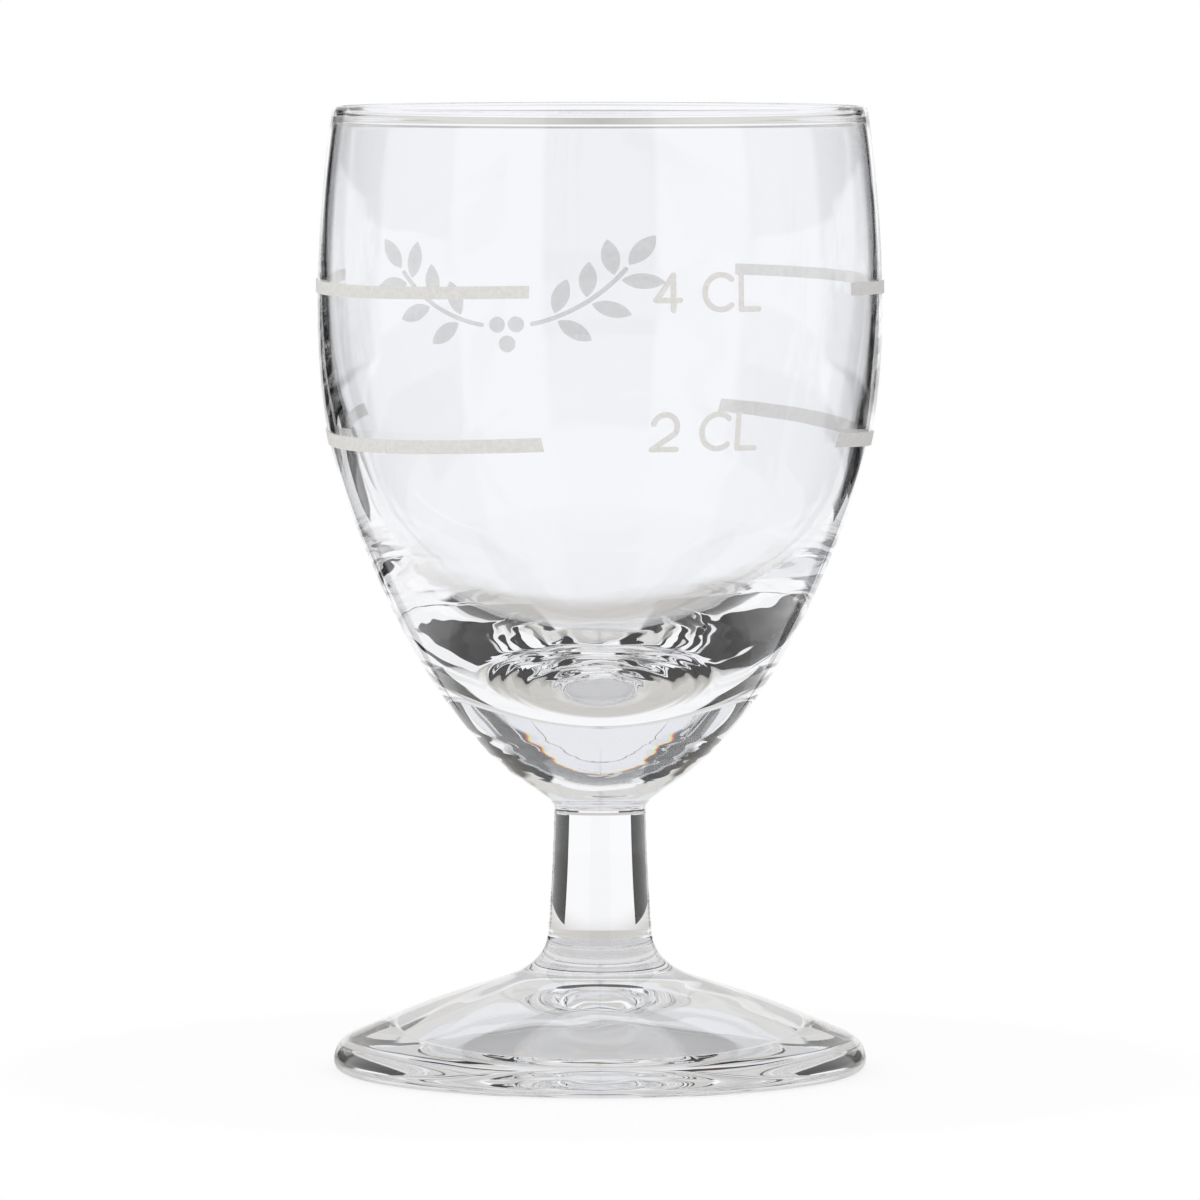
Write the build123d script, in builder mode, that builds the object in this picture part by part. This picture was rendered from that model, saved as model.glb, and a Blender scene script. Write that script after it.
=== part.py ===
from build123d import *
import os
from math import cos, radians, sin, tan

# Cordial glass: a bowl, a stem and a foot of clear glass, joined hot, with printed enamel on the bowl.
# Millimetres. The origin is the centre of the foot on the surface it stands on, +Z is the glass's axis,
# and -Y is the side with the capacity marks. Azimuths are degrees from -Y, positive towards +X.

# Foot
foot_radius = 22.4
foot_height = 11.3
edge_height = 0.85
ridge_inset = 1.4
ridge_height = 2.85
brow_radius = 17.6
brow_height = 4.35
slope_radius = 9.2
slope_height = 7.4
collar_radius = 5.4
collar_height = 9.3
collar_lean = 8.0
ring_width = 5.9
hollow_depth = 4.2

# Stem
stem_length = 10.55
stem_top_radius = 3.85
stem_waist_radius = 4.05
stem_foot_radius = 4.4

# Bowl, outside: its widest radius, how far each station of the wall lies inside that radius,
# and the rise from each station to the next
neck_fillet = 1.25
neck_turn = 54.0
flare_radius = 7.4
belly_radius = 23.65
cup_inset = 9.35
shoulder_inset = 3.95
hip_inset = 1.2
lip_inset = 0.4
rim_inset = 1.2
flare_rise = 3.2
cup_rise = 8.05
shoulder_rise = 10.8
hip_rise = 8.1
belly_rise = 14.3
lip_rise = 7.3
rim_rise = 6.98
cup_lean = 32.2
rim_lean = 8.0

# Bowl, inside
floor_thickness = 10.5
floor_radius = 11.1
floor_rise = 4.7
shoulder_wall = 2.2
hip_wall = 1.45
belly_wall = 0.7
lip_wall = 0.55
rim_bead_radius = 0.42
rim_bead_drop = 0.95

# Enamel: thickness of the print, its clearance from the glass, and where it lies on the bowl
enamel_thickness = 0.1
enamel_clearance = 0.05
upper_line_offset = -0.4
line_spacing = 12.75
left_line_azimuth = -61.5
left_line_half_angle = 47.5
right_line_azimuth = 105.5
right_line_half_angle = 44.5
upper_line_width = 1.05
lower_line_width = 1.15
upper_left_curl = 0.3
upper_right_curl = 0.15
lower_left_curl = 0.55
lower_right_curl = 0.4

# Capacity marks: characters drawn as plain strokes
mark_azimuth = 22.1
mark_height = 2.85
mark_stroke = 0.45
digit_width = 2.0
four_upright_inset = 0.55
four_bar_height = 0.8
two_hook_start = 165.0
two_hook_turn = 200.0
letter_c_mouth = 48.0
letter_l_width = 1.65
digit_gap = 2.15
letter_gap = 0.9
upper_mark_offset = 0.25
lower_mark_offset = 1.6

# Sprig on the back: two arched twigs with leaves and a cluster of berries
sprig_azimuth = 200.5
sprig_offset = -1.6
twig_start = 2.4
twig_reach = 10.4
twig_sag = 3.6
twig_lift = 1.6
twig_bend_reach = 6.2
twig_bend_sag = 2.2
twig_width = 0.4
leaf_pairs = 3
first_leaf_share = 0.2
leaf_gap = 0.5
leaf_length = 3.4
leaf_width = 1.5
leaf_angle = 52.0
berry_radius = 0.75
berry_pitch = 1.8

# Radii and heights of the stations, worked out from the insets and rises
cup_radius = belly_radius - cup_inset
shoulder_radius = belly_radius - shoulder_inset
hip_radius = belly_radius - hip_inset
lip_radius = belly_radius - lip_inset
rim_radius = belly_radius - rim_inset
bowl_base = foot_height + stem_length
flare_height = bowl_base + flare_rise
cup_height = flare_height + cup_rise
shoulder_height = cup_height + shoulder_rise
hip_height = shoulder_height + hip_rise
belly_height = hip_height + belly_rise
lip_height = belly_height + lip_rise
rim_height = lip_height + rim_rise
floor_height = bowl_base + floor_thickness
glass_height = rim_height + rim_bead_radius
upper_line_height = belly_height + upper_line_offset
lower_line_height = upper_line_height - line_spacing
print_reach = 2 * belly_radius

os.makedirs("parts", exist_ok=True)


def leaning(angle):
    """Give the upward direction in a profile that leans outwards from the axis by an angle."""
    return (sin(radians(angle)), cos(radians(angle)))


def upper_wall(shift=0.0):
    """Draw the bowl's outside from the cup to the rim, moved outwards by shift."""
    Spline(
        (cup_radius + shift, cup_height),
        (shoulder_radius + shift, shoulder_height),
        (hip_radius + shift, hip_height),
        (belly_radius + shift, belly_height),
        (lip_radius + shift, lip_height),
        (rim_radius + shift, rim_height),
        tangents=[leaning(cup_lean), leaning(-rim_lean)],
    )


def print_plane(azimuth, height):
    """Give the upright plane through the axis that faces an azimuth, with its origin at a height."""
    turn = radians(azimuth)
    return Plane(
        origin=(0, 0, height),
        x_dir=(cos(turn), sin(turn), 0),
        z_dir=(sin(turn), -cos(turn), 0),
    )


# Bowl
rim_bore = rim_radius - 2 * rim_bead_radius
bead_foot_height = rim_height - rim_bead_drop
bead_foot_bore = rim_radius + rim_bead_drop * tan(radians(rim_lean)) - lip_wall
with BuildPart() as bowl:
    with BuildSketch(Plane.XZ):
        with BuildLine():
            neck = JernArc((stem_top_radius, bowl_base), (0, 1), neck_fillet, -neck_turn)
            Spline(
                neck @ 1,
                (flare_radius, flare_height),
                (cup_radius, cup_height),
                tangents=[neck % 1, leaning(cup_lean)],
            )
            upper_wall()
            ThreePointArc(
                (rim_radius, rim_height),
                (rim_radius - rim_bead_radius, glass_height),
                (rim_bore, rim_height),
            )
            Spline(
                (rim_bore, rim_height),
                (bead_foot_bore, bead_foot_height),
                tangents=[(0, -1), leaning(180 - rim_lean)],
            )
            Spline(
                (bead_foot_bore, bead_foot_height),
                (lip_radius - lip_wall, lip_height),
                (belly_radius - belly_wall, belly_height),
                (hip_radius - hip_wall, hip_height),
                (shoulder_radius - shoulder_wall, shoulder_height),
                (floor_radius, floor_height + floor_rise),
                (0, floor_height),
                tangents=[leaning(180 - rim_lean), (-1, 0)],
            )
            Line((0, floor_height), (0, bowl_base))
            Line((0, bowl_base), (stem_top_radius, bowl_base))
        make_face()
    revolve(axis=Axis.Z)
bowl.part.label = "bowl"
export_step(bowl.part, "parts/bowl.step")

# Stem
with BuildPart() as stem:
    with BuildSketch(Plane.XZ):
        with BuildLine():
            Line((0, foot_height), (stem_foot_radius, foot_height))
            ThreePointArc(
                (stem_foot_radius, foot_height),
                (stem_waist_radius, foot_height + stem_length / 2),
                (stem_top_radius, bowl_base),
            )
            Line((stem_top_radius, bowl_base), (0, bowl_base))
            Line((0, bowl_base), (0, foot_height))
        make_face()
    revolve(axis=Axis.Z)
stem.part.label = "stem"
export_step(stem.part, "parts/stem.step")

# Foot
ring_outer = foot_radius - edge_height
ring_inner = ring_outer - ring_width
ridge_radius = foot_radius - ridge_inset
with BuildPart() as foot:
    with BuildSketch(Plane.XZ):
        with BuildLine():
            Line((0, foot_height), (stem_foot_radius, foot_height))
            edge_top = TangentArc(
                (foot_radius, edge_height), (ridge_radius, ridge_height), tangent=(0, 1)
            )
            Spline(
                edge_top @ 1,
                (brow_radius, brow_height),
                (slope_radius, slope_height),
                (collar_radius, collar_height),
                (stem_foot_radius, foot_height),
                tangents=[edge_top % 1, leaning(-collar_lean)],
            )
            TangentArc((foot_radius, edge_height), (ring_outer, 0), tangent=(0, -1))
            Line((ring_outer, 0), (ring_inner, 0))
            TangentArc((0, hollow_depth), (ring_inner, 0), tangent=(1, 0))
            Line((0, hollow_depth), (0, foot_height))
        make_face()
    revolve(axis=Axis.Z)
foot.part.label = "foot"
export_step(foot.part, "parts/foot.step")

# Skin of enamel over the outside of the bowl, from which the prints are cut
with BuildPart() as skin:
    with BuildSketch(Plane.XZ):
        with BuildLine():
            upper_wall(enamel_clearance)
            upper_wall(enamel_clearance + enamel_thickness)
            for radius, level in ((cup_radius, cup_height), (rim_radius, rim_height)):
                inside = radius + enamel_clearance
                Line((inside, level), (inside + enamel_thickness, level))
        make_face()
    revolve(axis=Axis.Z)


def printed(artwork):
    """Give the enamel of each motif of a sketch: the stretch of skin that lies straight behind it."""
    return [extrude(motif, amount=print_reach) & skin.part for motif in artwork.faces()]


# Fill lines: name, azimuth, half angle, height, width and how far the ends curl up
fill_lines = [
    ("fill_line_4cl_left", left_line_azimuth, left_line_half_angle,
     upper_line_height, upper_line_width, upper_left_curl),
    ("fill_line_4cl_right", right_line_azimuth, right_line_half_angle,
     upper_line_height, upper_line_width, upper_right_curl),
    ("fill_line_2cl_left", left_line_azimuth, left_line_half_angle,
     lower_line_height, lower_line_width, lower_left_curl),
    ("fill_line_2cl_right", right_line_azimuth, right_line_half_angle,
     lower_line_height, lower_line_width, lower_right_curl),
]
for line_name, azimuth, half_angle, height, width, curl in fill_lines:
    reach = belly_radius * sin(radians(half_angle))
    with BuildSketch(print_plane(azimuth, height)) as band:
        with BuildLine():
            for edge in (-width / 2, width / 2):
                ThreePointArc((-reach, edge + curl), (0, edge), (reach, edge + curl))
            for end in (-reach, reach):
                Line((end, curl - width / 2), (end, curl + width / 2))
        make_face()
    band_skin = printed(band.sketch)
    with BuildPart() as fill_line:
        add(band_skin)
    fill_line.part.label = line_name
    export_step(fill_line.part, f"parts/{line_name}.step")


def four_strokes(left):
    """Give the strokes of a figure 4 from its left edge, standing on the sketch's X axis."""
    right = left + digit_width
    upright = right - four_upright_inset
    with BuildLine() as stem_stroke:
        Line((upright, 0), (upright, mark_height))
    with BuildLine() as arm_stroke:
        Polyline((upright, mark_height), (left, four_bar_height), (right, four_bar_height))
    return [stem_stroke.wire(), arm_stroke.wire()]


def two_strokes(left):
    """Give the stroke of a figure 2 from its left edge, standing on the sketch's X axis."""
    bulge = digit_width / 2
    with BuildLine() as stroke:
        hook = CenterArc((left + bulge, mark_height - bulge), bulge, two_hook_start, -two_hook_turn)
        Polyline(hook @ 1, (left, 0), (left + digit_width, 0))
    return [stroke.wire()]


def c_strokes(left):
    """Give the stroke of a capital C from its left edge, standing on the sketch's X axis."""
    bend = mark_height / 2
    with BuildLine() as stroke:
        CenterArc((left + bend, bend), bend, letter_c_mouth, 360 - 2 * letter_c_mouth)
    return [stroke.wire()]


def l_strokes(left):
    """Give the stroke of a capital L from its left edge, standing on the sketch's X axis."""
    with BuildLine() as stroke:
        Polyline((left, mark_height), (left, 0), (left + letter_l_width, 0))
    return [stroke.wire()]


# Capacity marks: a figure and the two letters of its unit
letter_c_width = mark_height / 2 * (1 + cos(radians(letter_c_mouth)))
mark_length = digit_width + digit_gap + letter_c_width + letter_gap + letter_l_width
digit_left = -mark_length / 2
letter_c_left = digit_left + digit_width + digit_gap
letter_l_left = letter_c_left + letter_c_width + letter_gap
capacity_marks = [
    ("capacity_mark_4cl", four_strokes, upper_line_height + upper_mark_offset),
    ("capacity_mark_2cl", two_strokes, lower_line_height + lower_mark_offset),
]
for mark_name, digit_strokes, height in capacity_marks:
    strokes = digit_strokes(digit_left) + c_strokes(letter_c_left) + l_strokes(letter_l_left)
    with BuildSketch(print_plane(mark_azimuth, height - mark_height / 2)) as characters:
        for stroke in strokes:
            SlotArc(stroke, mark_stroke)
    character_skins = printed(characters.sketch)
    with BuildPart() as capacity_mark:
        add(character_skins)
    capacity_mark.part.label = mark_name
    export_step(capacity_mark.part, f"parts/{mark_name}.step")


def leaf_outline(base, direction):
    """Give the outline of a pointed leaf that starts near a base and runs along a direction."""
    root = base + direction * leaf_gap
    tip = root + direction * leaf_length
    side = Vector(-direction.Y, direction.X) * (leaf_width / 2)
    with BuildLine() as outline:
        ThreePointArc(root, (root + tip) / 2 + side, tip)
        ThreePointArc(tip, (root + tip) / 2 - side, root)
    return outline.edges()


# Sprig on the back
with BuildSketch(print_plane(sprig_azimuth, upper_line_height + sprig_offset)) as sprig:
    for hand in (-1, 1):
        with BuildLine(mode=Mode.PRIVATE) as twig:
            ThreePointArc(
                (hand * twig_start, -twig_sag),
                (hand * twig_bend_reach, -twig_bend_sag),
                (hand * twig_reach, twig_lift),
            )
        SlotArc(twig.wire(), twig_width)
        for pair in range(leaf_pairs):
            share = first_leaf_share + pair / leaf_pairs
            for turn in (-leaf_angle, leaf_angle):
                direction = (twig.wire() % share).rotate(Axis.Z, turn)
                make_face(leaf_outline(twig.wire() @ share, direction))
        make_face(leaf_outline(twig.wire() @ 1, twig.wire() % 1))
    for column, row in ((-0.5, 0), (0.5, 0), (0, 1)):
        with Locations((column * berry_pitch, -twig_sag - row * berry_pitch)):
            Circle(berry_radius)
sprig_skins = printed(sprig.sketch)
with BuildPart() as back_sprig:
    add(sprig_skins)
back_sprig.part.label = "back_sprig"
export_step(back_sprig.part, "parts/back_sprig.step")

# What the bowl holds up to each line at the height where the print crosses the silhouette
for line_name, level in (("2 cl", lower_line_height), ("4 cl", upper_line_height)):
    with BuildPart() as filling:
        with BuildSketch(Plane.XZ):
            with BuildLine():
                Line((0, floor_height), (0, level))
                Line((0, level), (belly_radius, level))
                Line((belly_radius, level), (belly_radius, floor_height))
                Line((belly_radius, floor_height), (0, floor_height))
            make_face()
        revolve(axis=Axis.Z)
        add(bowl.part, mode=Mode.SUBTRACT)
    inside = filling.part.solids().sort_by(lambda solid: solid.bounding_box().size.X)[0]
    print(f"bowl holds {inside.volume / 1000:.1f} ml up to the {line_name} line")
print(f"glass is {glass_height:.1f} high")
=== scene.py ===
import math

import bpy
import numpy as np
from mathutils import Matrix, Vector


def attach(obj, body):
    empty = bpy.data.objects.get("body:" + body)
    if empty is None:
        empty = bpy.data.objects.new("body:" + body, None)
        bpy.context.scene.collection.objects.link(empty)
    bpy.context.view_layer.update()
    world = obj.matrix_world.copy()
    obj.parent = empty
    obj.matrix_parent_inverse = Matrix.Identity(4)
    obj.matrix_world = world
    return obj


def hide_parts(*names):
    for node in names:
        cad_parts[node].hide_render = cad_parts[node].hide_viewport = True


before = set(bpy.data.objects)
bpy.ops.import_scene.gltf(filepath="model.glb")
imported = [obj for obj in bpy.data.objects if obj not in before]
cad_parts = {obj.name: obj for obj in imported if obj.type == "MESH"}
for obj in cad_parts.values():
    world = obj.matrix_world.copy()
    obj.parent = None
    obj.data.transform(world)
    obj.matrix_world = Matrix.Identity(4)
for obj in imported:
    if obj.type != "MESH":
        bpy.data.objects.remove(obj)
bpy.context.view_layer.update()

# Sizes are in millimetres, as in the part's source, and become metres when a mesh is made.
MM = 0.001
TINY = 1e-6
TO_DEGREES = 180 / math.pi

# Foot
FOOT_RADIUS = 22.4
FOOT_HEIGHT = 11.3
EDGE_HEIGHT = 0.85
RIDGE_INSET = 1.4
RIDGE_HEIGHT = 2.85
BROW = (17.6, 4.35)
SLOPE = (9.2, 7.4)
COLLAR = (5.4, 9.3)
COLLAR_LEAN = 8.0
RING_WIDTH = 5.9
RING_OUTER = FOOT_RADIUS - EDGE_HEIGHT
RING_INNER = RING_OUTER - RING_WIDTH
HOLLOW_DEPTH = 4.2

# Stem
STEM_LENGTH = 10.55
STEM_TOP_RADIUS = 3.85
STEM_WAIST_RADIUS = 4.05
STEM_FOOT_RADIUS = 4.4

# Bowl: its stations are pairs of a radius and a height
NECK_FILLET = 1.25
NECK_TURN = 54.0
BELLY_RADIUS = 23.65
RIM_BEAD_RADIUS = 0.42
RIM_BEAD_DROP = 0.95
CUP_LEAN = 32.2
RIM_LEAN = 8.0
BOWL_BASE = FOOT_HEIGHT + STEM_LENGTH
NECK = (5.0, BOWL_BASE + 1.2)
FLARE = (7.4, BOWL_BASE + 3.2)
CUP = (14.3, FLARE[1] + 8.05)
SHOULDER = (19.7, CUP[1] + 10.8)
HIP = (22.45, SHOULDER[1] + 8.1)
BELLY = (BELLY_RADIUS, HIP[1] + 14.3)
LIP = (23.25, BELLY[1] + 7.3)
RIM = (22.45, LIP[1] + 6.98)
RIM_TOP = (RIM[0], RIM[1] + RIM_BEAD_RADIUS)
FLOOR_HEIGHT = BOWL_BASE + 10.5
FLOOR_BEND = (11.1, FLOOR_HEIGHT + 4.7)
SHOULDER_WALL = 2.2
HIP_WALL = 1.45
BELLY_WALL = 0.7
LIP_WALL = 0.55
OUTER_STATIONS = (
    (STEM_TOP_RADIUS, BOWL_BASE), NECK, FLARE, CUP, SHOULDER, HIP, BELLY, LIP, RIM, RIM_TOP,
)

# Marks of making: chill marks round the floor of the bowl, as lobes with a size, a twist and a phase
CHILL_INNER = (4.5, 8.5)
CHILL_TOP = (46.5, 42.5)
CHILL_STEPS = 0.002
CHILL_PITCH = 2.3
CHILL_LOBES = ((9, 0.007, 0.35, 0.3), (16, 0.0035, -0.5, 1.9), (27, 0.001, 0.8, 4.0))
CHILL_WANDER = ((1.3, 3, 1.0), (0.9, 5, 2.0), (0.5, 11, 0.4))

# Mould rings under the bowl, each with a height, a rise and a width
MOULD_RINGS = ((28.1, -0.07, 0.35), (26.7, 0.05, 0.3), (25.0, 0.06, 0.35), (23.7, -0.04, 0.3))
RING_UNEVENNESS = 0.4
RING_LOBES = 3
RING_PHASE = 0.7
OUTER_SKIN = 0.3

# A bore that lies off centre low in the bowl, and an uneven hollow under the foot
BORE_DRIFT = 0.3
BORE_DRIFT_TURN = 45.0
BORE_DRIFT_TOP = (58.0, 48.0)
BORE_DRIFT_END = (39.0, 44.0)
HOLLOW_WAVE = 0.012
HOLLOW_CENTRE = (2.0, 6.0)
HOLLOW_EDGE = 3.0
HOLLOW_LOBES = ((5, 0.5), (9, -1.0))

# Meshes: the longest step along a profile, and the number of steps in an arc
SEGMENTS = 256
PROFILE_STEP = 0.45
RING_STEP = 0.2
INSIDE_STEPS = (0.6, 0.6, 0.6, 0.25, 0.25, 0.25)
LEAST_STEPS = 8
NECK_STEPS = 8
BEAD_STEPS = 12
STEM_STEPS = 40
HOLLOW_STEPS = 50
UNDER_EDGE_STEPS = 12
OVER_EDGE_STEPS = 16

# Glass: its tint, the share of light that passes straight to matt surfaces, and a swell, its height in metres
GLASS_TINT = (0.958, 0.963, 0.98)
GLASS_IOR = 1.52
THIN_GLASS_PASSES = 0.97
THICK_GLASS_PASSES = 0.8
SWELL_SCALE = 260.0
SWELL_DETAIL = 1.0
SWELL_STRENGTH = 0.5
SWELL_HEIGHT = 0.000012

# Enamel: its pale and dark grains, the share of the glass behind that it covers, and the share of its tone
# that is left on the front half of the glass as painted shade. The grain's height is in metres.
LINE_ENAMEL = ((0.89, 0.88, 0.855), (0.83, 0.82, 0.8), 0.96, 1.0)
# The right-hand lines' enamel is paler than the rest as painted light, and its front half is darkened as
# painted shade.
ENAMEL_PAINTED_LIGHT_AND_SHADE = ((0.985, 0.975, 0.955), (0.93, 0.92, 0.9), 0.96, 0.74)
THIN_ENAMEL = ((0.9, 0.895, 0.88), (0.84, 0.835, 0.82), 0.68, 1.0)
ENAMEL_PAINTED_SHADE_SPAN = (-1.5, 1.5)
ENAMEL_GRAIN = 2600.0
ENAMEL_GRAIN_DETAIL = 3.0
ENAMEL_GRAIN_MIDDLE = 0.5
ENAMEL_GRAIN_SPAN = (0.25, 0.75)
ENAMEL_GRAIN_STRENGTH = 0.3
ENAMEL_GRAIN_HEIGHT = 0.00003
ENAMEL_ROUGHNESS = 0.55
ENAMEL_GLOW = 0.25
ENAMEL_COVER_GRAIN = 0.15

# Camera: its places and clipping distances in metres, its lens and sensor in millimetres
CAMERA_AT = (0.0, -0.825, 0.094)
CAMERA_AIM = (0.0, 0.0, 0.03955)
CAMERA_LENS = 295.35
CAMERA_SENSOR = 36.0
CAMERA_NEAR = 0.01
CAMERA_FAR = 10.0

# Table: it reaches further straight behind the glass, and near the foot it has a brownish grey painted shade
# that only shows through the glass
TABLE_NEAR_RADIUS = 62.0
TABLE_FAR_RADIUS = 195.0
TABLE_FAR_TURN = 31.0
TABLE_FAR_POINTS = 24
TABLE_NEAR_POINTS = 90
TABLE_DROP = 0.05
TABLE_COLOUR = (0.95, 0.95, 0.95)
TABLE_FADE = (34.0, 56.0)
TABLE_GLOW_LEAST = 0.7
UNDER_FOOT = (19.0, 30.0)
TABLE_PAINTED_SHADE = (0.62, 0.6, 0.56)
TABLE_PAINTED_SHADE_SPAN = (48.0, 78.0)

# Light of the room. Turns are degrees from straight behind the glass, and lifts degrees above the horizon.
LIGHT_BOUNCES = 200
DARK_LEVEL = 0.015
WINDOW_SOFTNESS = 1.0
PANEL_SOFTNESS = 3.0
LIFT_SOFTNESS = 0.4
WHITE = (1.0, 1.0, 1.0)
OFF_WHITE = (0.94, 0.94, 0.95)
WARM_GREY = (0.72, 0.71, 0.68)
DIM = (0.36, 0.36, 0.38)
CEILING = (0.84, 0.85, 0.87)
CEILING_RED = (0.84, 0.0, 0.0)
CEILING_GREEN = (0.0, 0.85, 0.0)
CEILING_BLUE = (0.0, 0.0, 0.87)

# The window straight behind, and a panel that only reflections off the outside show, on both sides
BACK_WINDOW = ((-17.0, 20.0), (-14.5, 8.4))
MIRRORED_PANEL = ((37.0, 125.0), (-6.0, 24.0))

# What the glass sees of the room: a panel's turns, the same on both sides, its lifts and its light. The rest
# is dark. The top of the ceiling starts at another lift for each colour, because thick glass splits its edge.
PANELS = (
    ((-1.0, 15.0), (-95.0, -10.0), WHITE),
    ((-1.0, 33.0), (8.0, 26.0), WARM_GREY),
    ((33.0, 76.0), (16.0, 25.0), WARM_GREY),
    ((36.0, 66.0), (-6.0, 2.5), WHITE),
    ((64.0, 115.0), (-4.5, 1.0), OFF_WHITE),
    ((70.0, 112.0), (-14.5, -4.0), WHITE),
    ((110.0, 182.0), (-14.5, -4.0), WHITE),
    ((115.0, 157.0), (-30.0, 50.0), WHITE),
    ((157.0, 182.0), (-4.6, 26.0), DIM),
    ((75.0, 182.0), (24.0, 95.0), CEILING),
    ((-1.0, 182.0), (60.8, 95.0), CEILING_RED),
    ((-1.0, 182.0), (62.0, 95.0), CEILING_GREEN),
    ((-1.0, 182.0), (63.2, 95.0), CEILING_BLUE),
    ((-1.0, 182.0), (24.0, 42.0), CEILING),
    ((36.0, 182.0), (-95.0, -14.0), WHITE),
    ((-1.0, 182.0), (-95.0, -21.0), WHITE),
)


# Curves of a profile

def leaning(angle):
    """Give the upward direction in a profile that leans outwards by an angle in degrees."""
    return (math.sin(math.radians(angle)), math.cos(math.radians(angle)))


def spline(stations, start, end, step=PROFILE_STEP):
    """Sample the smooth curve through stations, given its end directions and its longest step or steps."""
    points = np.array(stations, float)
    gaps = np.linalg.norm(np.diff(points, axis=0), axis=1)
    count = len(points)
    system = np.eye(count)
    slopes = np.zeros((count, 2))
    slopes[0] = start
    slopes[-1] = end
    for i in range(1, count - 1):
        before, after = gaps[i - 1], gaps[i]
        system[i, i - 1:i + 2] = (1 / before, 2 / before + 2 / after, 1 / after)
        slopes[i] = 3 * ((points[i] - points[i - 1]) / before**2 + (points[i + 1] - points[i]) / after**2)
    slopes = np.linalg.solve(system, slopes)
    sampled = []
    for i, (gap, longest) in enumerate(zip(gaps, np.broadcast_to(step, gaps.shape))):
        steps = max(LEAST_STEPS, round(gap / longest))
        for t in np.arange(steps) / steps:
            sampled.append(
                (2 * t**3 - 3 * t**2 + 1) * points[i]
                + (t**3 - 2 * t**2 + t) * gap * slopes[i]
                + (3 * t**2 - 2 * t**3) * points[i + 1]
                + (t**3 - t**2) * gap * slopes[i + 1]
            )
    return [tuple(p) for p in sampled] + [tuple(points[-1])]


def arc(centre, radius, first, last, steps):
    """Sample an arc of a circle between two angles in degrees."""
    angles = np.radians(np.linspace(first, last, steps + 1))
    return [(centre[0] + radius * math.cos(a), centre[1] + radius * math.sin(a)) for a in angles]


def short_way(first, last):
    """Give the turn from one angle to another in degrees, the shorter way round."""
    return (last - first + 180) % 360 - 180


def arc_through(a, b, c, steps):
    """Sample the arc of a circle from a to c that passes through b."""
    (ax, ay), (bx, by), (cx, cy) = a, b, c
    d = 2 * (ax * (by - cy) + bx * (cy - ay) + cx * (ay - by))
    ux = ((ax**2 + ay**2) * (by - cy) + (bx**2 + by**2) * (cy - ay) + (cx**2 + cy**2) * (ay - by)) / d
    uy = ((ax**2 + ay**2) * (cx - bx) + (bx**2 + by**2) * (ax - cx) + (cx**2 + cy**2) * (bx - ax)) / d
    radius = math.hypot(ax - ux, ay - uy)
    first = math.degrees(math.atan2(ay - uy, ax - ux))
    last = math.degrees(math.atan2(cy - uy, cx - ux))
    return arc((ux, uy), radius, first, first + short_way(first, last), steps)


def tangent_arc(start, end, direction, steps):
    """Sample the arc from start to end that leaves start along a direction."""
    start, end, direction = np.array(start), np.array(end), np.array(direction, float)
    chord = end - start
    normal = np.array((-direction[1], direction[0]))
    radius = chord @ chord / (2 * chord @ normal)
    centre = start + normal * radius
    first = math.degrees(math.atan2(*(start - centre)[::-1]))
    last = math.degrees(math.atan2(*(end - centre)[::-1]))
    return arc(centre, abs(radius), first, first + short_way(first, last), steps)


def joined(*stretches):
    """Chain sampled stretches into one profile without repeating the shared points."""
    chain = list(stretches[0])
    for stretch in stretches[1:]:
        chain += stretch[1:]
    return chain


# Profiles of the three pieces of glass, each from the axis round the outside and back to the axis

def bowl_profile():
    """The bowl, from its joint up the outside, over the rim's bead and down the inside to its floor."""
    neck_centre = (STEM_TOP_RADIUS + NECK_FILLET, BOWL_BASE)
    neck = arc(neck_centre, NECK_FILLET, 180, 180 - NECK_TURN, NECK_STEPS)
    lower = spline([neck[-1], FLARE, CUP], leaning(NECK_TURN), leaning(CUP_LEAN), RING_STEP)
    upper = spline([CUP, SHOULDER, HIP, BELLY, LIP, RIM], leaning(CUP_LEAN), leaning(-RIM_LEAN))
    bead = arc((RIM[0] - RIM_BEAD_RADIUS, RIM[1]), RIM_BEAD_RADIUS, 0, 180, BEAD_STEPS)
    down_wall = leaning(180 - RIM_LEAN)
    wall_radius = RIM[0] + RIM_BEAD_DROP * math.tan(math.radians(RIM_LEAN))
    under_bead = (wall_radius - LIP_WALL, RIM[1] - RIM_BEAD_DROP)
    bead_neck = spline([bead[-1], under_bead], (0, -1), down_wall)
    walls = ((LIP, LIP_WALL), (BELLY, BELLY_WALL), (HIP, HIP_WALL), (SHOULDER, SHOULDER_WALL))
    bore = [(r - wall, z) for (r, z), wall in walls]
    inside = spline([under_bead, *bore, FLOOR_BEND, (0, FLOOR_HEIGHT)], down_wall, (-1, 0), INSIDE_STEPS)
    joint = [(0, BOWL_BASE), (STEM_TOP_RADIUS, BOWL_BASE)]
    return joined(joint, neck, lower, upper, bead, bead_neck, inside)


def stem_profile():
    """The stem, from its joint with the foot up its waisted side to its joint with the bowl."""
    bottom = [(0, FOOT_HEIGHT), (STEM_FOOT_RADIUS, FOOT_HEIGHT)]
    waist = (STEM_WAIST_RADIUS, FOOT_HEIGHT + STEM_LENGTH / 2)
    side = arc_through(bottom[-1], waist, (STEM_TOP_RADIUS, BOWL_BASE), STEM_STEPS)
    return joined(bottom, side, [side[-1], (0, BOWL_BASE)])


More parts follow.
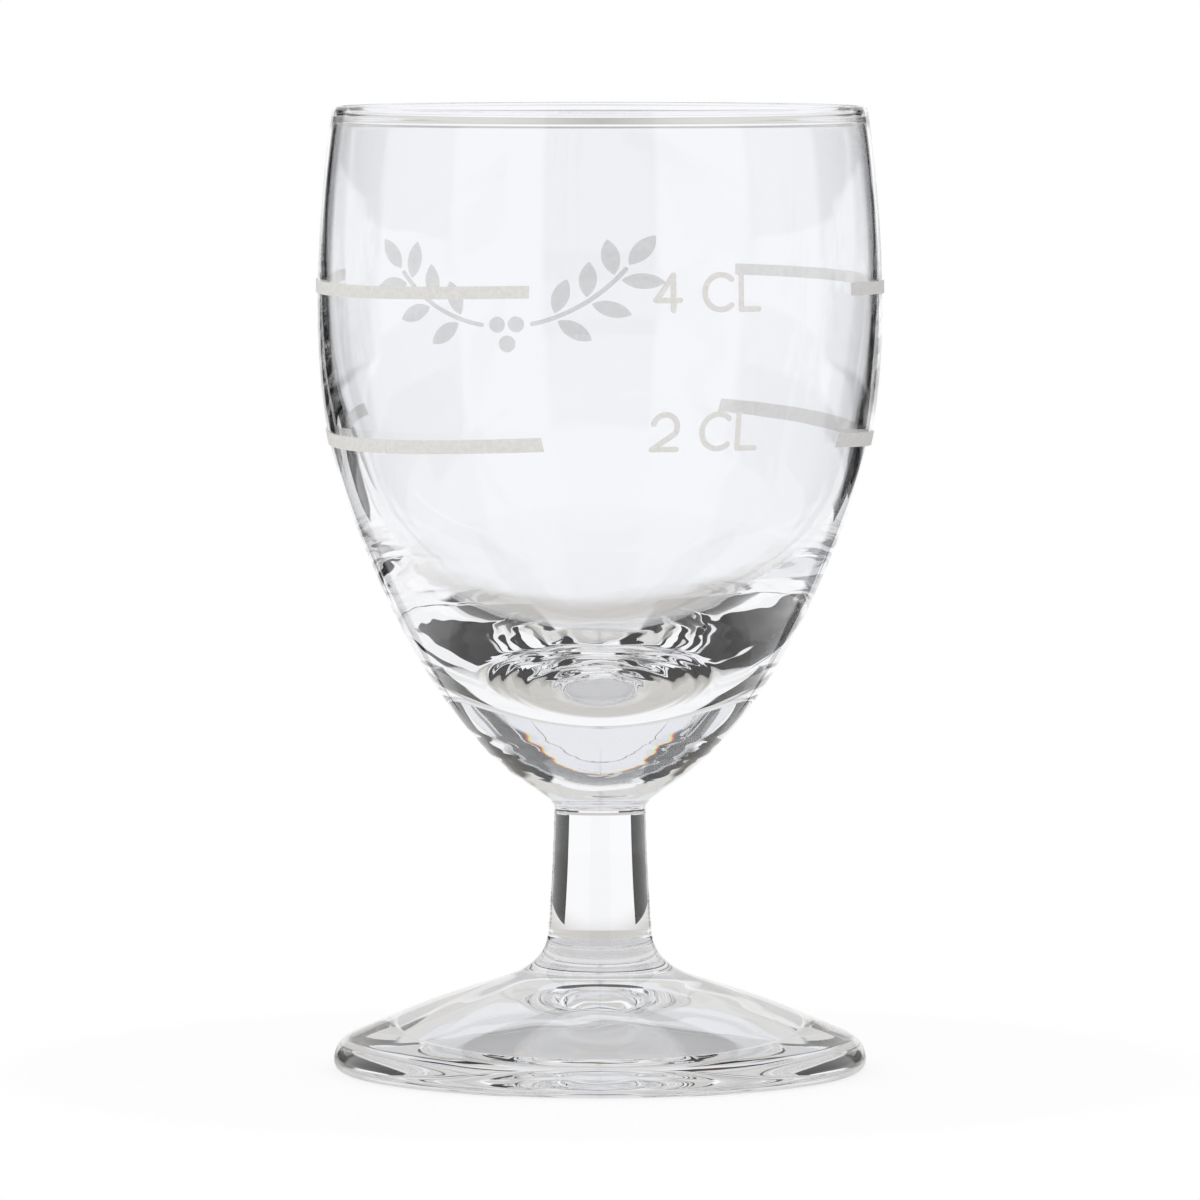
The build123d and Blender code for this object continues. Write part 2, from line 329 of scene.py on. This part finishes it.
def foot_profile():
    """The foot, from its hollow over the ring it stands on and its edge to its joint with the stem."""
    edge = (FOOT_RADIUS, EDGE_HEIGHT)
    ridge = (FOOT_RADIUS - RIDGE_INSET, RIDGE_HEIGHT)
    hollow = tangent_arc((0, HOLLOW_DEPTH), (RING_INNER, 0), (1, 0), HOLLOW_STEPS)
    round_under = tangent_arc(edge, (RING_OUTER, 0), (0, -1), UNDER_EDGE_STEPS)[::-1]
    round_over = tangent_arc(edge, ridge, (0, 1), OVER_EDGE_STEPS)
    last = np.array(round_over[-1]) - np.array(round_over[-2])
    last = last / np.linalg.norm(last)
    top_stations = [ridge, BROW, SLOPE, COLLAR, (STEM_FOOT_RADIUS, FOOT_HEIGHT)]
    top = spline(top_stations, last, leaning(-COLLAR_LEAN))
    ring = [(RING_INNER, 0), (RING_OUTER, 0)]
    return joined(hollow, ring, round_under, round_over, top, [top[-1], (0, FOOT_HEIGHT)])


# Reliefs: how far the surface is raised at a point of a profile, for each angle round the axis

def eased(value, low, high):
    """Go smoothly from 0 at low to 1 at high."""
    share = min(1.0, max(0.0, (value - low) / (high - low)))
    return share * share * (3 - 2 * share)


def bowl_relief(radius, height, angles):
    """Mould rings on the bowl's outside, chill marks on its inside above the floor, and the bore's drift."""
    outer = np.interp(height, *zip(*((z, r) for r, z in OUTER_STATIONS)))
    if radius > outer - OUTER_SKIN:
        rings = sum(rise * math.exp(-((height - z) / width)**2) for z, rise, width in MOULD_RINGS)
        return rings * (1 + RING_UNEVENNESS * np.sin(RING_LOBES * angles + RING_PHASE))
    marked = eased(radius, *CHILL_INNER) * eased(height, *CHILL_TOP)
    slant = radius + height
    wander = sum(size * np.sin(lobes * angles + phase) for size, lobes, phase in CHILL_WANDER)
    waves = CHILL_STEPS * np.sin(2 * math.pi * slant / CHILL_PITCH + wander)
    for lobes, size, twist, phase in CHILL_LOBES:
        waves = waves + size * np.sin(lobes * angles + twist * slant + phase)
    drift = BORE_DRIFT * eased(height, *BORE_DRIFT_TOP) * eased(height, *BORE_DRIFT_END)
    return marked * waves + drift * np.cos(angles + math.radians(BORE_DRIFT_TURN))


def foot_relief(radius, height, angles):
    """Slow unevenness of the pressed hollow, which ends before the ring that the foot stands on."""
    if height > HOLLOW_DEPTH or radius > RING_INNER:
        return np.zeros(len(angles))
    share = eased(radius, *HOLLOW_CENTRE) * eased(radius, RING_INNER, RING_INNER - HOLLOW_EDGE)
    return share * HOLLOW_WAVE * sum(np.sin(lobes * angles + twist * radius) for lobes, twist in HOLLOW_LOBES)


def smooth(radius, height, angles):
    """No relief."""
    return np.zeros(len(angles))


# Meshes

def lathe(name, profile, joint_radii, materials, relief):
    """Turn a profile that starts and ends on the axis into a solid whose surface is raised by a relief."""
    vertices, faces, kinds, rings = [], [], [], []
    angles = 2 * math.pi * np.arange(SEGMENTS) / SEGMENTS
    along = np.gradient(np.array(profile), axis=0)
    for (radius, height), (dr, dz) in zip(profile, along):
        if radius < TINY:
            rings.append([len(vertices)])
            vertices.append((0.0, 0.0, height * MM))
            continue
        rings.append(list(range(len(vertices), len(vertices) + SEGMENTS)))
        length = math.hypot(dr, dz)
        raised = relief(radius, height, angles)
        for angle, rise in zip(angles, raised):
            r, z = radius + rise * dz / length, height - rise * dr / length
            vertices.append((r * math.sin(angle) * MM, -r * math.cos(angle) * MM, z * MM))
    for index, (low, high) in enumerate(zip(rings, rings[1:])):
        (r0, z0), (r1, z1) = profile[index], profile[index + 1]
        flat_disc = abs(z0 - z1) < TINY and min(r0, r1) < TINY
        kind = 1 if flat_disc and max(r0, r1) in joint_radii else 0
        for i in range(SEGMENTS):
            j = (i + 1) % SEGMENTS
            if len(low) == 1:
                face = (low[0], high[j], high[i])
            elif len(high) == 1:
                face = (low[i], low[j], high[0])
            else:
                face = (low[i], low[j], high[j], high[i])
            faces.append(face)
            kinds.append(kind)
    mesh = bpy.data.meshes.new(name)
    mesh.from_pydata(vertices, [], faces)
    for material in materials:
        mesh.materials.append(material)
    mesh.polygons.foreach_set("material_index", kinds)
    mesh.polygons.foreach_set("use_smooth", [True] * len(faces))
    sharpen_joints(mesh, faces, kinds)
    mesh.update()
    piece = bpy.data.objects.new(name, mesh)
    bpy.context.scene.collection.objects.link(piece)
    return piece


def sharpen_joints(mesh, faces, kinds):
    """Mark the edges between a joint's face and the rest of a mesh as sharp."""
    kinds_beside = {}
    for face, kind in zip(faces, kinds):
        for a, b in zip(face, face[1:] + face[:1]):
            kinds_beside.setdefault((min(a, b), max(a, b)), set()).add(kind)
    for edge in mesh.edges:
        pair = (min(edge.vertices), max(edge.vertices))
        edge.use_edge_sharp = len(kinds_beside[pair]) == 2


# Materials

class NodeMath:
    """Node arithmetic for the materials and for the light of the room."""

    def __init__(self, tree):
        self.tree = tree

    def value(self, socket, source):
        """Set a socket to a number or a colour, or link it to an output."""
        if isinstance(source, (int, float, tuple)):
            socket.default_value = source
        else:
            self.tree.links.new(source, socket)

    def math(self, operation, first, second=0.0):
        """Work out a number from one or two numbers."""
        node = self.tree.nodes.new("ShaderNodeMath")
        node.operation = operation
        self.value(node.inputs[0], first)
        self.value(node.inputs[1], second)
        return node.outputs[0]

    def rise(self, source, low, high):
        """Go smoothly from 0 at low to 1 at high."""
        node = self.tree.nodes.new("ShaderNodeMapRange")
        node.interpolation_type = "SMOOTHSTEP"
        self.value(node.inputs["Value"], source)
        node.inputs["From Min"].default_value = low
        node.inputs["From Max"].default_value = high
        return node.outputs[0]

    def vector(self, operation, first, second):
        """Work out a colour from two colours."""
        node = self.tree.nodes.new("ShaderNodeVectorMath")
        node.operation = operation
        self.value(node.inputs[0], first)
        self.value(node.inputs[1], second)
        return node.outputs[0]

    def light(self, mask, colour):
        """Give a colour where a mask is 1, black where it is 0 and darker shades of it between them."""
        node = self.tree.nodes.new("ShaderNodeVectorMath")
        node.operation = "SCALE"
        self.value(node.inputs[0], colour)
        self.value(node.inputs["Scale"], mask)
        return node.outputs[0]

    def inside(self, source, low, high, soft):
        """Give 1 between low and high and 0 outside, with soft edges."""
        up = self.rise(source, low - soft, low + soft)
        down = self.rise(source, high - soft, high + soft)
        return self.math("SUBTRACT", up, down)

    def patch(self, turn, lift, turns, lifts, softness):
        """Give 1 inside a panel of the room and 0 outside it."""
        across = self.inside(turn, *turns, softness)
        return self.math("MULTIPLY", across, self.inside(lift, *lifts, LIFT_SOFTNESS))


def new_material(name):
    """Make an empty node material and give it with its node tree and output."""
    material = bpy.data.materials.new(name)
    material.use_nodes = True
    tree = material.node_tree
    tree.nodes.clear()
    output = tree.nodes.new("ShaderNodeOutputMaterial")
    return material, tree, output


def glass_material(name, passes):
    """Clear, faintly uneven glass that lets a share of the light pass straight to matt surfaces."""
    material, tree, output = new_material(name)
    shader = tree.nodes.new("ShaderNodeBsdfPrincipled")
    shader.inputs["Base Color"].default_value = (*GLASS_TINT, 1.0)
    shader.inputs["Roughness"].default_value = 0.0
    shader.inputs["IOR"].default_value = GLASS_IOR
    shader.inputs["Transmission Weight"].default_value = 1.0
    place = tree.nodes.new("ShaderNodeTexCoord")
    swell = tree.nodes.new("ShaderNodeTexNoise")
    swell.inputs["Scale"].default_value = SWELL_SCALE
    swell.inputs["Detail"].default_value = SWELL_DETAIL
    bump = tree.nodes.new("ShaderNodeBump")
    bump.inputs["Strength"].default_value = SWELL_STRENGTH
    bump.inputs["Distance"].default_value = SWELL_HEIGHT
    tree.links.new(place.outputs["Object"], swell.inputs["Vector"])
    tree.links.new(swell.outputs["Fac"], bump.inputs["Height"])
    tree.links.new(bump.outputs["Normal"], shader.inputs["Normal"])
    through = tree.nodes.new("ShaderNodeBsdfTransparent")
    through.inputs["Color"].default_value = (passes, passes, passes, 1.0)
    path = tree.nodes.new("ShaderNodeLightPath")
    mix = tree.nodes.new("ShaderNodeMixShader")
    lit = NodeMath(tree).math("MAXIMUM", path.outputs["Is Shadow Ray"], path.outputs["Is Diffuse Ray"])
    tree.links.new(lit, mix.inputs["Fac"])
    tree.links.new(shader.outputs["BSDF"], mix.inputs[1])
    tree.links.new(through.outputs["BSDF"], mix.inputs[2])
    tree.links.new(mix.outputs[0], output.inputs["Surface"])
    return material


def joint_material():
    """The face where two pieces of glass are melted together, which shows nothing."""
    material, tree, output = new_material("melted_joint")
    shader = tree.nodes.new("ShaderNodeBsdfTransparent")
    tree.links.new(shader.outputs["BSDF"], output.inputs["Surface"])
    return material


def enamel_material(name, pale, dark, cover, front):
    """Fired print, grainy and a little translucent, that may have painted shade on the front half of the
    glass.
    """
    material, tree, output = new_material(name)
    nodes = NodeMath(tree)
    place = tree.nodes.new("ShaderNodeTexCoord")
    grain = tree.nodes.new("ShaderNodeTexNoise")
    grain.inputs["Scale"].default_value = ENAMEL_GRAIN
    grain.inputs["Detail"].default_value = ENAMEL_GRAIN_DETAIL
    tree.links.new(place.outputs["Object"], grain.inputs["Vector"])
    tone = tree.nodes.new("ShaderNodeValToRGB")
    for stop, position, colour in zip(tone.color_ramp.elements, ENAMEL_GRAIN_SPAN, (dark, pale)):
        stop.position = position
        stop.color = (*colour, 1.0)
    tree.links.new(grain.outputs["Fac"], tone.inputs["Fac"])
    split = tree.nodes.new("ShaderNodeSeparateXYZ")
    tree.links.new(place.outputs["Object"], split.inputs[0])
    # Painted shade: the tone is darkened by the share front on the front half of the glass.
    behind = nodes.rise(split.outputs["Y"], *(edge * MM for edge in ENAMEL_PAINTED_SHADE_SPAN))
    shade = nodes.math("ADD", front, nodes.math("MULTIPLY", behind, 1.0 - front))
    shaded = nodes.light(shade, tone.outputs["Color"])
    bump = tree.nodes.new("ShaderNodeBump")
    bump.inputs["Strength"].default_value = ENAMEL_GRAIN_STRENGTH
    bump.inputs["Distance"].default_value = ENAMEL_GRAIN_HEIGHT
    tree.links.new(grain.outputs["Fac"], bump.inputs["Height"])
    print_face = tree.nodes.new("ShaderNodeBsdfPrincipled")
    print_face.inputs["Roughness"].default_value = ENAMEL_ROUGHNESS
    glow_through = tree.nodes.new("ShaderNodeBsdfTranslucent")
    clear = tree.nodes.new("ShaderNodeBsdfTransparent")
    for shader, socket in ((print_face, "Base Color"), (glow_through, "Color")):
        tree.links.new(shaded, shader.inputs[socket])
        tree.links.new(bump.outputs["Normal"], shader.inputs["Normal"])
    body = tree.nodes.new("ShaderNodeMixShader")
    body.inputs["Fac"].default_value = ENAMEL_GLOW
    tree.links.new(print_face.outputs["BSDF"], body.inputs[1])
    tree.links.new(glow_through.outputs["BSDF"], body.inputs[2])
    mix = tree.nodes.new("ShaderNodeMixShader")
    swing = nodes.math("SUBTRACT", grain.outputs["Fac"], ENAMEL_GRAIN_MIDDLE)
    uneven = nodes.math("MULTIPLY", swing, ENAMEL_COVER_GRAIN)
    tree.links.new(nodes.math("ADD", cover, uneven), mix.inputs["Fac"])
    tree.links.new(clear.outputs["BSDF"], mix.inputs[1])
    tree.links.new(body.outputs["Shader"], mix.inputs[2])
    tree.links.new(mix.outputs["Shader"], output.inputs["Surface"])
    return material


# Room, table and camera

def build_world():
    """White room to the camera, even light on matt surfaces, and bright panels between dark ones in glass."""
    world = bpy.data.worlds.new("studio")
    bpy.context.scene.world = world
    world.use_nodes = True
    tree = world.node_tree
    tree.nodes.clear()
    nodes = NodeMath(tree)
    output = tree.nodes.new("ShaderNodeOutputWorld")
    background = tree.nodes.new("ShaderNodeBackground")
    path = tree.nodes.new("ShaderNodeLightPath")
    place = tree.nodes.new("ShaderNodeTexCoord")
    split = tree.nodes.new("ShaderNodeSeparateXYZ")
    tree.links.new(place.outputs["Generated"], split.inputs[0])
    x, y, z = split.outputs
    turn = nodes.math("MULTIPLY", nodes.math("ARCTAN2", x, y), TO_DEGREES)
    side = nodes.math("ABSOLUTE", turn)
    lift = nodes.math("MULTIPLY", nodes.math("ARCSINE", z), TO_DEGREES)
    room = nodes.light(nodes.patch(turn, lift, *BACK_WINDOW, WINDOW_SOFTNESS), WHITE)
    for turns, lifts, light in PANELS:
        panel = nodes.patch(side, lift, turns, lifts, PANEL_SOFTNESS)
        room = nodes.vector("MAXIMUM", room, nodes.light(panel, light))
    glossy, transmitted = path.outputs["Is Glossy Ray"], path.outputs["Is Transmission Ray"]
    bounced = nodes.math("SUBTRACT", glossy, transmitted)
    panel = nodes.patch(side, lift, *MIRRORED_PANEL, PANEL_SOFTNESS)
    mirrored = nodes.math("MULTIPLY", bounced, panel)
    room = nodes.vector("MAXIMUM", room, nodes.light(mirrored, WHITE))
    room = nodes.vector("MAXIMUM", room, (DARK_LEVEL, DARK_LEVEL, DARK_LEVEL))
    in_glass = nodes.math("MAXIMUM", glossy, transmitted)
    elsewhere = nodes.light(nodes.math("SUBTRACT", 1.0, in_glass), WHITE)
    tree.links.new(nodes.vector("MAXIMUM", room, elsewhere), background.inputs["Color"])
    tree.links.new(background.outputs[0], output.inputs["Surface"])


def table_material():
    """White to the camera with a soft shadow near the foot, and lit in glass, where its middle has a brownish
    grey painted shade.
    """
    material, tree, output = new_material("white_table")
    nodes = NodeMath(tree)
    matte = tree.nodes.new("ShaderNodeBsdfDiffuse")
    matte.inputs["Color"].default_value = (*TABLE_COLOUR, 1.0)
    glow = tree.nodes.new("ShaderNodeEmission")
    glow.inputs["Strength"].default_value = 1.0
    path = tree.nodes.new("ShaderNodeLightPath")
    in_camera = path.outputs["Is Camera Ray"]
    in_glass = nodes.math("MAXIMUM", path.outputs["Is Glossy Ray"], path.outputs["Is Transmission Ray"])
    place = tree.nodes.new("ShaderNodeTexCoord")
    reach = tree.nodes.new("ShaderNodeVectorMath")
    reach.operation = "LENGTH"
    tree.links.new(place.outputs["Object"], reach.inputs[0])
    fade, clear, far = (
        nodes.rise(reach.outputs["Value"], low * MM, high * MM)
        for low, high in (TABLE_FADE, UNDER_FOOT, TABLE_PAINTED_SHADE_SPAN)
    )
    # Painted shade: seen in glass, the table's middle glows brownish grey instead of white.
    white = nodes.math("MAXIMUM", far, in_camera)
    painted_shade = nodes.light(nodes.math("SUBTRACT", 1.0, white), TABLE_PAINTED_SHADE)
    tree.links.new(nodes.vector("ADD", nodes.light(white, WHITE), painted_shade), glow.inputs["Color"])
    straight = nodes.math("MULTIPLY", in_camera, nodes.math("MAXIMUM", fade, TABLE_GLOW_LEAST))
    share = nodes.math("MAXIMUM", straight, nodes.math("MULTIPLY", in_glass, clear))
    mix = tree.nodes.new("ShaderNodeMixShader")
    tree.links.new(share, mix.inputs["Fac"])
    tree.links.new(matte.outputs[0], mix.inputs[1])
    tree.links.new(glow.outputs[0], mix.inputs[2])
    tree.links.new(mix.outputs[0], output.inputs["Surface"])
    return material


def build_floor():
    """A round table top under the glass, with a longer sector straight behind it."""
    far = np.radians(np.linspace(-TABLE_FAR_TURN, TABLE_FAR_TURN, TABLE_FAR_POINTS))
    near = np.radians(np.linspace(TABLE_FAR_TURN, 360 - TABLE_FAR_TURN, TABLE_NEAR_POINTS))
    outline = [(TABLE_FAR_RADIUS, a) for a in far] + [(TABLE_NEAR_RADIUS, a) for a in near]
    vertices = [(r * math.sin(a) * MM, r * math.cos(a) * MM, 0.0) for r, a in outline][::-1]
    mesh = bpy.data.meshes.new("table")
    mesh.from_pydata(vertices, [], [tuple(range(len(vertices)))])
    mesh.materials.append(table_material())
    floor = bpy.data.objects.new("table", mesh)
    bpy.context.scene.collection.objects.link(floor)
    floor.location.z = -TABLE_DROP * MM


def build_camera():
    """The photograph's camera: a long lens a little above the rim, looking slightly down."""
    camera = bpy.data.objects.new("camera", bpy.data.cameras.new("camera"))
    camera.data.lens = CAMERA_LENS
    camera.data.sensor_width = CAMERA_SENSOR
    camera.data.clip_start = CAMERA_NEAR
    camera.data.clip_end = CAMERA_FAR
    camera.location = CAMERA_AT
    aim = Vector(CAMERA_AIM) - Vector(CAMERA_AT)
    camera.rotation_mode = "QUATERNION"
    camera.rotation_quaternion = aim.to_track_quat("-Z", "Y")
    bpy.context.scene.collection.objects.link(camera)
    bpy.context.scene.camera = camera


# Glass
thin_glass = glass_material("clear_glass", THIN_GLASS_PASSES)
thick_glass = glass_material("clear_thick_glass", THICK_GLASS_PASSES)
joint = joint_material()
bowl = lathe("glass_bowl", bowl_profile(), (STEM_TOP_RADIUS,), (thin_glass, joint), bowl_relief)
stem_joints = (STEM_TOP_RADIUS, STEM_FOOT_RADIUS)
stem = lathe("glass_stem", stem_profile(), stem_joints, (thick_glass, joint), smooth)
foot = lathe("glass_foot", foot_profile(), (STEM_FOOT_RADIUS,), (thick_glass, joint), foot_relief)
glass = {"bowl": bowl, "stem": stem, "foot": foot}
for node, piece in glass.items():
    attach(piece, "root")
    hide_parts(node)

# Prints: the imported solids, the sprig thinner than the rest and the right-hand lines paler as painted
# light, with painted shade on their front half
line_enamel = enamel_material("fired_enamel", *LINE_ENAMEL)
enamel_painted_light_and_shade = enamel_material("fired_enamel_with_painted_light_and_shade", *ENAMEL_PAINTED_LIGHT_AND_SHADE)
thin_enamel = enamel_material("thin_fired_enamel", *THIN_ENAMEL)
enamels = {
    "fill_line_4cl_right": enamel_painted_light_and_shade,
    "fill_line_2cl_right": enamel_painted_light_and_shade,
    "back_sprig": thin_enamel,
}
for name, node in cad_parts.items():
    if name not in glass:
        node.data.materials.clear()
        node.data.materials.append(enamels.get(name, line_enamel))

# Room
build_world()
build_floor()
build_camera()
bpy.context.scene.view_settings.view_transform = "Standard"
for kind in ("max_bounces", "glossy_bounces", "transmission_bounces", "transparent_max_bounces"):
    setattr(bpy.context.scene.cycles, kind, LIGHT_BOUNCES)
